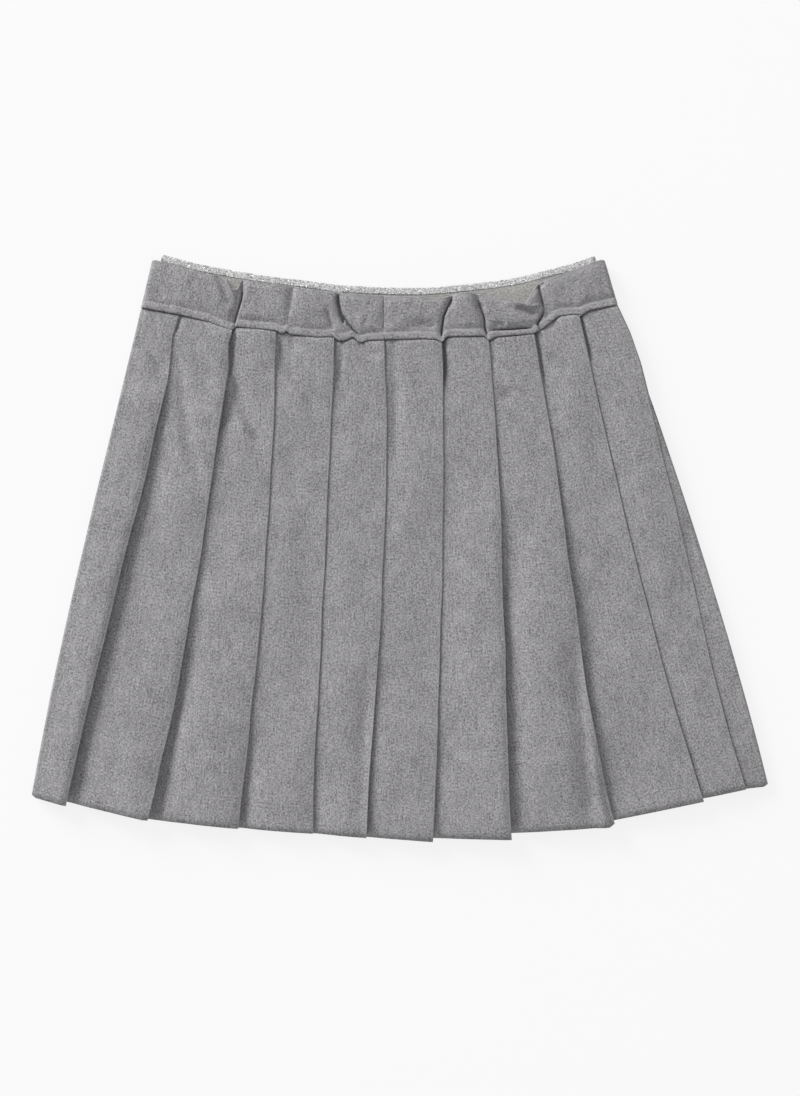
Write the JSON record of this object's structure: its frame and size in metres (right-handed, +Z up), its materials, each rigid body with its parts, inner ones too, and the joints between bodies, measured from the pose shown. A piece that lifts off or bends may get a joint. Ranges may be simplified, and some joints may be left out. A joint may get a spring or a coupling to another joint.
{
  "type": "pleated skirt",
  "caption": "Child's knife-pleated skirt with a puckered, elasticated waistband, laid flat with its front up.",
  "frame": {"origin": "middle of the outline, on the surface that the skirt lies on", "axes": "+X to the right of someone who looks down at the front, +Y from the hem to the waist, +Z up"},
  "size_m": [0.456, 0.3628, 0.0113],
  "materials": {
    "grey_cloth": "heathered mid grey flannel, matt, fine light and dark flecks",
    "band_cloth": "the same heathered grey flannel, doubled and puckered",
    "elastic": "smooth woven beige-grey elastic with a silver glitter edge"
  },
  "bodies": {
    "root": {"skirt_front": "grey_cloth", "skirt_back": "grey_cloth", "waistband": "band_cloth", "waist_elastic": "elastic"}
  },
  "joints": []
}
